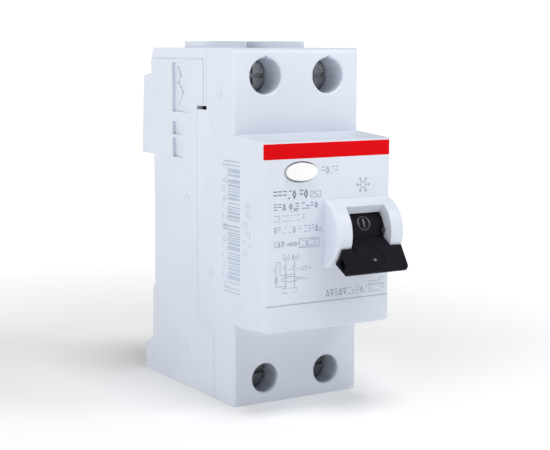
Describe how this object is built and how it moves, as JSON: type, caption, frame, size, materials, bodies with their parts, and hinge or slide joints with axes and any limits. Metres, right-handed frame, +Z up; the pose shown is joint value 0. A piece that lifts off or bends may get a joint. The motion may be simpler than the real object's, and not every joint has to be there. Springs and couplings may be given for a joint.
{
  "type": "residual current device",
  "caption": "Two-pole residual current device for a 35 mm rail: grey two-part housing, stepped nose, black tilting handle, oval test button, lift terminals and a sprung rail clip.",
  "frame": {"origin": "centre of the rail seat, on the seat plane, level with the rail's middle", "axes": "+Y out of the back towards the rail, +Z up along the device's height, +X to the right as seen from the front"},
  "size_m": [0.035, 0.0712, 0.0866],
  "materials": {
    "housing_grey": "light grey moulded thermoplastic, fine satin grain",
    "red_band": "smooth red print",
    "handle_black": "matt black moulded, fine spark texture",
    "button_white": "satin white",
    "clip_dark": "grey moulded",
    "inner_plastic": "dark moulded",
    "relay_clear_grey": "smooth grey",
    "copper": "bare copper",
    "silver": "silver alloy contact",
    "enamelled_wire": "enamelled copper wire",
    "dark_core": "dull core",
    "resistor_body": "lacquered",
    "zinc_steel": "zinc plated",
    "spring_steel": "plain steel"
  },
  "bodies": {
    "housing": {"rear_base": "housing_grey", "front_cover": "housing_grey", "red_stripe": "red_band", "toggle_pin": "spring_steel", "carrier_shaft": "spring_steel", "fixed_contact_tips": "silver", "toroid_core": "dark_core", "toroid_winding": "enamelled_wire", "toroid_case": "inner_plastic", "toroid_lid": "inner_plastic", "secondary_leads": "enamelled_wire", "mechanism_frame": "spring_steel", "trip_pin": "spring_steel", "latch_pin": "spring_steel", "trip_spring": "spring_steel", "relay_case": "relay_clear_grey", "relay_yoke": "spring_steel", "relay_bobbin": "inner_plastic", "relay_coil": "enamelled_wire", "relay_magnet": "dark_core", "relay_spring": "spring_steel", "test_button_spring": "spring_steel", "test_contact_blade": "spring_steel", "test_resistor": "resistor_body", "test_leads": "spring_steel", "din_clip_spring": "spring_steel", "braid_left": "copper", "braid_right": "copper", "primary_conductor_left": "copper", "primary_conductor_right": "copper", "terminal_plate_upper_left": "copper", "terminal_plate_upper_right": "copper", "terminal_plate_lower_left": "copper", "terminal_plate_lower_right": "copper"},
    "toggle": {"toggle": "handle_black", "toggle_spring": "spring_steel"},
    "drive_link": {"drive_link": "spring_steel"},
    "contact_carrier": {"contact_carrier": "inner_plastic", "moving_contact_left": "copper", "moving_contact_right": "copper", "moving_contact_tips": "silver", "contact_springs": "spring_steel"},
    "test_button": {"test_button": "button_white"},
    "din_clip": {"din_clip": "clip_dark"},
    "trip_lever": {"trip_lever": "inner_plastic"},
    "latch_lever": {"latch_lever": "inner_plastic"},
    "relay_plunger": {"relay_plunger": "spring_steel", "relay_armature": "spring_steel"},
    "terminal_screw_upper_left": {"terminal_screw_upper_left": "zinc_steel"},
    "terminal_cage_upper_left": {"terminal_cage_upper_left": "zinc_steel"},
    "terminal_screw_upper_right": {"terminal_screw_upper_right": "zinc_steel"},
    "terminal_cage_upper_right": {"terminal_cage_upper_right": "zinc_steel"},
    "terminal_screw_lower_left": {"terminal_screw_lower_left": "zinc_steel"},
    "terminal_cage_lower_left": {"terminal_cage_lower_left": "zinc_steel"},
    "terminal_screw_lower_right": {"terminal_screw_lower_right": "zinc_steel"},
    "terminal_cage_lower_right": {"terminal_cage_lower_right": "zinc_steel"}
  },
  "joints": [
    {"name": "toggle_swing", "type": "hinge", "parent": "housing", "child": "toggle", "pos_m": [0.008, -0.0557, 0.0022], "axis": [-1, 0, 0], "range_deg": [0, 60]},
    {"name": "link_swing", "type": "hinge", "parent": "toggle", "child": "drive_link", "pos_m": [0.0112, -0.05206, 0.0043], "axis": [1, 0, 0], "range_deg": [0, 60]},
    {"name": "carrier_swing", "type": "hinge", "parent": "housing", "child": "contact_carrier", "pos_m": [0, -0.02015, 0.012], "axis": [1, 0, 0], "range_deg": [0, 20.88], "deforming": ["braid_left", "braid_right"]},
    {"name": "button_press", "type": "slide", "parent": "housing", "child": "test_button", "axis": [0, 1, 0], "range_m": [0, 0.0014], "stiffness_N_per_m": 900, "springref_m": -0.0012, "deforming": ["test_button_spring"]},
    {"name": "clip_release", "type": "slide", "parent": "housing", "child": "din_clip", "axis": [0, 0, -1], "range_m": [0, 0.0035], "stiffness_N_per_m": 1800, "springref_m": -0.002, "deforming": ["din_clip_spring"]},
    {"name": "trip_swing", "type": "hinge", "parent": "housing", "child": "trip_lever", "pos_m": [0.0052, -0.038, -0.0015], "axis": [-1, 0, 0], "range_deg": [0, 13.5], "deforming": ["trip_spring"]},
    {"name": "latch_swing", "type": "hinge", "parent": "housing", "child": "latch_lever", "pos_m": [0.0052, -0.045, 0.007], "axis": [-1, 0, 0], "range_deg": [0, 8]},
    {"name": "plunger_slide", "type": "slide", "parent": "housing", "child": "relay_plunger", "axis": [0, 0, 1], "range_m": [0, 0.0012], "stiffness_N_per_m": 60, "springref_m": -0.0015, "deforming": ["relay_spring"]},
    {"name": "screw_turn_upper_left", "type": "hinge", "parent": "housing", "child": "terminal_screw_upper_left", "pos_m": [-0.00875, -0.037, 0.0384], "axis": [0, 1, 0], "range_deg": [0, 2880]},
    {"name": "cage_lift_upper_left", "type": "slide", "parent": "housing", "child": "terminal_cage_upper_left", "axis": [0, -1, 0], "range_m": [0, 0.0064]},
    {"name": "screw_turn_upper_right", "type": "hinge", "parent": "housing", "child": "terminal_screw_upper_right", "pos_m": [0.00875, -0.037, 0.0384], "axis": [0, 1, 0], "range_deg": [0, 2880]},
    {"name": "cage_lift_upper_right", "type": "slide", "parent": "housing", "child": "terminal_cage_upper_right", "axis": [0, -1, 0], "range_m": [0, 0.0064]},
    {"name": "screw_turn_lower_left", "type": "hinge", "parent": "housing", "child": "terminal_screw_lower_left", "pos_m": [-0.00875, -0.037, -0.034], "axis": [0, 1, 0], "range_deg": [0, 2880]},
    {"name": "cage_lift_lower_left", "type": "slide", "parent": "housing", "child": "terminal_cage_lower_left", "axis": [0, -1, 0], "range_m": [0, 0.0064]},
    {"name": "screw_turn_lower_right", "type": "hinge", "parent": "housing", "child": "terminal_screw_lower_right", "pos_m": [0.00875, -0.037, -0.034], "axis": [0, 1, 0], "range_deg": [0, 2880]},
    {"name": "cage_lift_lower_right", "type": "slide", "parent": "housing", "child": "terminal_cage_lower_right", "axis": [0, -1, 0], "range_m": [0, 0.0064]}
  ],
  "couplings": [
    {"joint": "link_swing", "follows": "toggle_swing", "ratio": 1},
    {"joint": "carrier_swing", "follows": "toggle_swing", "ratio": 0.34767},
    {"joint": "trip_swing", "follows": "plunger_slide", "rad_per_m": 196.35},
    {"joint": "latch_swing", "follows": "plunger_slide", "rad_per_m": 116.35},
    {"joint": "screw_turn_upper_left", "follows": "cage_lift_upper_left", "rad_per_m": 7854},
    {"joint": "screw_turn_upper_right", "follows": "cage_lift_upper_right", "rad_per_m": 7854},
    {"joint": "screw_turn_lower_left", "follows": "cage_lift_lower_left", "rad_per_m": 7854},
    {"joint": "screw_turn_lower_right", "follows": "cage_lift_lower_right", "rad_per_m": 7854}
  ]
}
